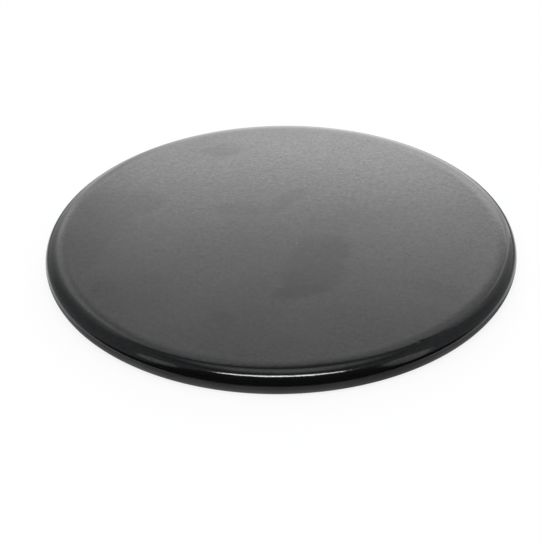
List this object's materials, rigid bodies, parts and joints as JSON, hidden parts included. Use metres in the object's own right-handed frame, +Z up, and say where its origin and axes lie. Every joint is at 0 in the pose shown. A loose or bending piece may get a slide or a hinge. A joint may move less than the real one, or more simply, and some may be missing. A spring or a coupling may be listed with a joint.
{
  "type": "gas burner cap",
  "caption": "Round black enamelled cap for a gas hob burner: flat top, full-round edge, and a shallow recess underneath with a seat and a locating ring for the burner's crown.",
  "frame": {"origin": "on the cap's axis, in the plane that the foot of the rim stands on", "axes": "+Z up along the cap's axis, towards its flat top; X and Y are free, as the cap is round"},
  "size_m": [0.1, 0.1, 0.006],
  "materials": {
    "enamel": "semi-gloss black vitreous enamel over cast iron, with a faint orange peel"
  },
  "bodies": {
    "root": {"burner_cap": "enamel"}
  },
  "joints": []
}
